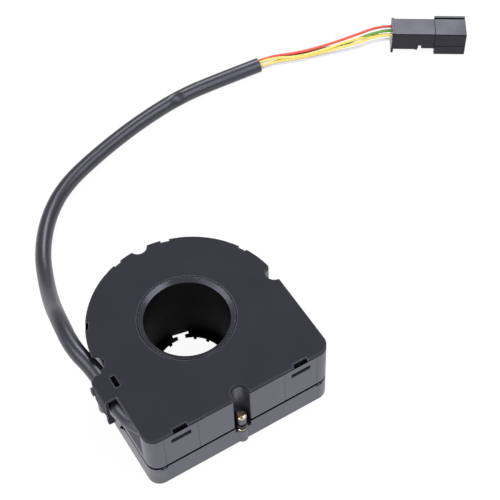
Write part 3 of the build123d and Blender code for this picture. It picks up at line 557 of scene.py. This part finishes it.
# The ribs stop short of the barrel's length by this much, at both ends together
rib_ends = 0.0006
rib_count = 28
tree, sizes = node_tree("knurled_inserts", insert_sizes)
barrel = lathe(tree, sizes, insert_profile, 56)
rib_length = add_node(tree, "ShaderNodeMath", {"operation": "SUBTRACT"}, {
    0: sizes["Barrel top"], 1: sizes["Flange top"]})
rib_trim = add_node(tree, "ShaderNodeMath", {"operation": "SUBTRACT"}, {
    0: rib_length.outputs["Value"], 1: rib_ends})
rib_size = add_node(tree, "ShaderNodeCombineXYZ", inputs={
    "X": sizes["Rib size"], "Y": sizes["Rib size"], "Z": rib_trim.outputs["Value"]})
rib = add_node(tree, "GeometryNodeMeshCube", inputs={"Size": rib_size.outputs["Vector"]})
rib_row = add_node(tree, "GeometryNodeMeshCircle", inputs={
    "Vertices": rib_count, "Radius": sizes["Barrel radius"]})
rib_index = add_node(tree, "GeometryNodeInputIndex").outputs["Index"]
rib_angle = add_node(tree, "ShaderNodeMath", {"operation": "MULTIPLY"}, {
    0: rib_index, 1: 2 * math.pi / rib_count})
# Each rib is turned an eighth further, so that it stands on the barrel with an edge outwards
rib_edge = add_node(tree, "ShaderNodeMath", {"operation": "ADD"}, {
    0: rib_angle.outputs["Value"], 1: math.pi / 4})
rib_turn = add_node(tree, "ShaderNodeCombineXYZ", inputs={"Z": rib_edge.outputs["Value"]})
ribs = add_node(tree, "GeometryNodeInstanceOnPoints", inputs={
    "Points": rib_row.outputs["Mesh"], "Instance": rib.outputs["Mesh"],
    "Rotation": rib_turn.outputs["Vector"]})
rib_middle = add_node(tree, "ShaderNodeMath", {"operation": "ADD"}, {
    0: sizes["Barrel top"], 1: sizes["Flange top"]})
rib_height = add_node(tree, "ShaderNodeMath", {"operation": "MULTIPLY"}, {
    0: rib_middle.outputs["Value"], 1: 0.5})
rib_lift = add_node(tree, "ShaderNodeCombineXYZ", inputs={"Z": rib_height.outputs["Value"]})
ribs_up = add_node(tree, "GeometryNodeTransform", inputs={
    "Geometry": ribs.outputs["Instances"], "Translation": rib_lift.outputs["Vector"]})
real_ribs = add_node(tree, "GeometryNodeRealizeInstances", inputs={"Geometry": ribs_up.outputs["Geometry"]})
knurled = add_node(tree, "GeometryNodeMeshBoolean", {"operation": "UNION", "solver": "EXACT"})
tree.links.new(barrel, knurled.inputs["Mesh 2"])
tree.links.new(real_ribs.outputs["Geometry"], knurled.inputs["Mesh 2"])
spots = add_node(tree, "GeometryNodeMeshCircle", inputs={"Vertices": 4, "Radius": sizes["Circle radius"]})
row = add_node(tree, "GeometryNodeInstanceOnPoints", inputs={
    "Points": spots.outputs["Mesh"], "Instance": knurled.outputs["Mesh"]})
# The knurled barrels are drawn dark as painted shade and shine, and the turned flanges are pale brass, with
# lines round both
shaded_brass = bare_metal("brass_painted_shade", "#4b4a50", 0.30, 0.2, (1.0, 1.0, 8.0))
bare_brass = bare_metal("brass_turned", "#d8cdb2", 0.24, 0.2, (1.0, 1.0, 8.0))
insert_place = add_node(tree, "GeometryNodeInputPosition").outputs["Position"]
insert_height = add_node(tree, "ShaderNodeSeparateXYZ", inputs={"Vector": insert_place}).outputs["Z"]
on_flange = add_node(tree, "ShaderNodeMath", {"operation": "LESS_THAN"}, {
    0: insert_height, 1: sizes["Flange top"]})
inserts = finished_piece("knurled_inserts", tree, insert_sizes, shaded_brass, row.outputs["Instances"],
                         on_flange.outputs["Value"], bare_brass)
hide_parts("threaded_inserts")
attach(inserts, "housing")

# Lid
# A thin plate with a side clip for the cable, snapped on from above. Its tool was etched, so the
# same black PBT comes out duller and closer grained than on the shells.
# Nearly matt and even; the edges are drawn light grey, a painted highlight along them
lid_pbt = moulded("pbt_black_etched", "#202027", 0.75, 0.35, 0.012, cloud=0.06, specular=0.4,
                  tint=bluish, edge_mm=0.6, edge_wear_and_highlight="#96969e", edge_wear_and_highlight_share=(0.55, 0.9))
# The window over the clip is 2.15 mm wide, so the rest of the solid's wider opening is filled
filling = ("X", (-36.45, -34.15), ((-13.7, 36.2), (-13.7, 37.5), (-8.1, 37.5), (-8.1, 36.2)))
lid = recut("lid", "top_cover", lid_pbt, added=[filling])

# Cable
# A six-core cable in an extruded black PVC sheath, 7 mm thick. It leaves the board inside the front
# left corner, runs under the lid's clip and lies loose on the floor in one open curve, with one dent.
sheath_route = (
    (-0.0336, -0.0346, 0.0306),
    (-0.0389, -0.0272, 0.0306),
    (-0.0405, -0.0175, 0.0311),
    (-0.0405, 0.0010, 0.0311),
    (-0.0433, 0.0148, 0.0309),
    (-0.0413, 0.0320, 0.0274),
    (-0.0383, 0.0484, 0.0162),
    (-0.0339, 0.0651, 0.0085),
    (-0.0280, 0.0822, 0.0052),
    (-0.0171, 0.0994, 0.0035),
    (-0.0024, 0.1120, 0.0035),
    (0.0190, 0.1204, 0.0035),
    (0.0429, 0.1272, 0.0035),
    (0.0680, 0.1314, 0.0035),
    (0.0899, 0.1305, 0.0035),
    (0.1107, 0.1288, 0.0035),
)


def cord_curve(name, route, radius, material):
    """A round cord on one smooth line through the route."""
    curve = bpy.data.curves.new(name, "CURVE")
    curve.dimensions = "3D"
    curve.resolution_u = 24
    curve.bevel_depth = radius
    curve.bevel_resolution = 14
    curve.use_fill_caps = True
    spline = curve.splines.new("NURBS")
    spline.points.add(len(route) - 1)
    for point, place in zip(spline.points, route):
        point.co = (*place, 1.0)
    spline.order_u = 3
    spline.use_endpoint_u = True
    curve.materials.append(material)
    cord = bpy.data.objects.new(name, curve)
    bpy.context.scene.collection.objects.link(cord)
    return cord


# Smooth and black, with a long highlight that the dent breaks
sheath_pvc = moulded("pvc_black_extruded", "#1b1a20", 0.34, 0.4, 0.001, cloud=0.08, specular=0.85,
                     tint=bluish, edge_mm=0.05, dent=((65.5, 127.9, 5.8), 4.8, 0.7))
sheath = cord_curve("sheath", sheath_route, 0.0035, sheath_pvc)
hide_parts("cable_sleeve")
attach(sheath, "housing")

# Wires
# The six cores, each with its own coloured PVC skin of 1.3 mm. They fan out of the sheath's end,
# cross a little, and enter the plug's rear in two rows of three.
wire_skins = {
    "wire_red": ("#f05b50", 0.0699, [
        (0.11082, 0.13025, 0.00472), (0.11780, 0.12968, 0.00472), (0.13064, 0.12526, 0.00390),
        (0.14558, 0.12245, 0.00340), (0.15986, 0.11939, 0.00480), (0.17032, 0.11386, 0.01018),
        (0.17625, 0.11015, 0.01000)]),
    "wire_green": ("#63a844", 0.0700, [
        (0.11073, 0.12913, 0.00163), (0.11770, 0.12856, 0.00163), (0.13132, 0.12633, 0.00075),
        (0.14440, 0.12050, 0.00245), (0.15760, 0.11900, 0.00215), (0.16873, 0.11132, 0.01018),
        (0.17466, 0.10761, 0.01000)]),
    "wire_yellow_a": ("#fce37c", 0.0685, [
        (0.11067, 0.12847, 0.00537), (0.11765, 0.12790, 0.00537), (0.12941, 0.12332, 0.00330),
        (0.14382, 0.11977, 0.00390), (0.15706, 0.11864, 0.00360), (0.16867, 0.11135, 0.00758),
        (0.17461, 0.10764, 0.00740)]),
    "wire_yellow_b": ("#fce37c", 0.0686, [
        (0.11055, 0.12702, 0.00415), (0.11753, 0.12645, 0.00415), (0.12964, 0.12368, 0.00190),
        (0.14373, 0.11958, 0.00260), (0.15761, 0.11593, 0.00320), (0.16714, 0.10878, 0.01018),
        (0.17307, 0.10506, 0.01000)]),
    "wire_brown": ("#632f24", 0.0701, [
        (0.11085, 0.13058, 0.00285), (0.11782, 0.13001, 0.00285), (0.13065, 0.12528, 0.00230),
        (0.14592, 0.12292, 0.00130), (0.16151, 0.11635, 0.00100), (0.17027, 0.11390, 0.00758),
        (0.17620, 0.11019, 0.00740)]),
    "wire_white": ("#e2e1ec", 0.0681, [
        (0.11058, 0.12735, 0.00228), (0.11756, 0.12678, 0.00228), (0.12940, 0.12330, 0.00070),
        (0.14374, 0.11954, 0.00070), (0.15616, 0.11537, 0.00090), (0.16708, 0.10881, 0.00758),
        (0.17301, 0.10510, 0.00740)]),
}
# Plain clear colours with a satin skin
for name, (colour, length, route) in wire_skins.items():
    label = name.removeprefix("wire_")
    skin = moulded("pvc_extruded_" + label, colour, 0.38, 0.5, 0.002, cloud=0.04)
    core = cord_curve(name + "_skin", route, 0.00065, skin)
    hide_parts(name)
    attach(core, "housing")

# Connector
# The six-way plug: a rear body, a wider collar that shrouds the mating end, and a lock plate under
# the rear. Black PA66, moulded in polished tools, so its flat tops mirror the light.
plug_nylon = moulded("pa66_black_moulded", "#0c0c11", 0.26, 0.5, 0.004, cloud=0.06, specular=0.40,
                     tint=bluish)
dress("connector_housing", plug_nylon)
dress("connector_lock", plug_nylon)
dress("connector_terminals", tin)

# Floor
# A plain pale sweep under the sensor. Seen directly, or mirrored in the plastic, it is white.
floor_paint, tree = empty_material("floor_white")
rays = add_node(tree, "ShaderNodeLightPath")
seen = add_node(tree, "ShaderNodeMath", {"operation": "MAXIMUM"}, {
    0: rays.outputs["Is Camera Ray"], 1: rays.outputs["Is Glossy Ray"]})
white_share = 0.90
white_glow = 1.04
share = add_node(tree, "ShaderNodeMath", {"operation": "MULTIPLY"}, {
    0: seen.outputs["Value"], 1: white_share})
matte = add_node(tree, "ShaderNodeBsdfDiffuse", inputs={"Color": linear("#f2f2f2")})
glow = add_node(tree, "ShaderNodeEmission", inputs={"Color": (1, 1, 1, 1), "Strength": white_glow})
both = add_node(tree, "ShaderNodeMixShader", inputs={
    "Fac": share.outputs["Value"], 1: matte.outputs["BSDF"], 2: glow.outputs["Emission"]})
finish_material(tree, both.outputs["Shader"])
floor_mesh = bpy.data.meshes.new("floor")
floor_mesh.from_pydata([(-4, -4, 0), (4, -4, 0), (4, 4, 0), (-4, 4, 0)], [], [(0, 1, 2, 3)])
floor_mesh.materials.append(floor_paint)
floor = bpy.data.objects.new("floor", floor_mesh)
bpy.context.scene.collection.objects.link(floor)

# Light
# Five soft boxes around the sensor in an even pale room, which the camera sees as white. The one at
# the far right is mirrored in the plug's top, and the two lowest light the case's walls.
room = bpy.data.worlds.new("room")
bpy.context.scene.world = room
room.use_nodes = True
room.node_tree.nodes.clear()
rays = add_node(room.node_tree, "ShaderNodeLightPath")
room_light = 0.45
level = add_node(room.node_tree, "ShaderNodeMapRange", inputs={
    "Value": rays.outputs["Is Camera Ray"], "To Min": room_light, "To Max": 1.0})
air = add_node(room.node_tree, "ShaderNodeBackground", inputs={
    "Color": (1, 1, 1, 1), "Strength": level.outputs["Result"]})
add_node(room.node_tree, "ShaderNodeOutputWorld", inputs={"Surface": air.outputs["Background"]})


def soft_box(name, place, aim, size, power):
    lamp = bpy.data.lights.new(name, "AREA")
    lamp.shape = "SQUARE"
    lamp.size = size
    lamp.energy = power
    holder = bpy.data.objects.new(name, lamp)
    holder.location = place
    holder.rotation_euler = (Vector(aim) - Vector(place)).to_track_quat("-Z", "Y").to_euler()
    bpy.context.scene.collection.objects.link(holder)


soft_box("right_front", (0.60, -0.50, 0.95), (0.03, 0.03, 0.0), 0.7, 4.5)
soft_box("left_back", (-0.75, 0.45, 0.90), (0.03, 0.03, 0.0), 0.7, 4.5)
soft_box("far_right", (0.66, 0.82, 0.98), (0.16, 0.10, 0.0), 0.55, 7.0)
soft_box("left_front", (-0.95, -0.40, 0.30), (-0.02, 0.0, 0.02), 0.5, 4.0)
soft_box("front", (0.30, -0.95, 0.62), (0.0, 0.0, 0.02), 0.4, 1.6)

# Camera
# Placed as the photograph was taken, from the front left and well above. The focal length and the
# width of the picture are in pixels.
focal_length = 1372.23
picture_width = 500
lens = bpy.data.cameras.new("camera")
lens.sensor_width = 36.0
lens.lens = focal_length * lens.sensor_width / picture_width
lens.clip_start = 0.01
camera = bpy.data.objects.new("camera", lens)
camera.matrix_world = Matrix((
    (0.8551, 0.4308, -0.2884, -0.1222),
    (-0.5177, 0.6815, -0.5172, -0.2722),
    (-0.0262, 0.5916, 0.8058, 0.4842),
    (0, 0, 0, 1),
))
bpy.context.scene.collection.objects.link(camera)
bpy.context.scene.camera = camera
bpy.context.scene.view_settings.view_transform = "Standard"
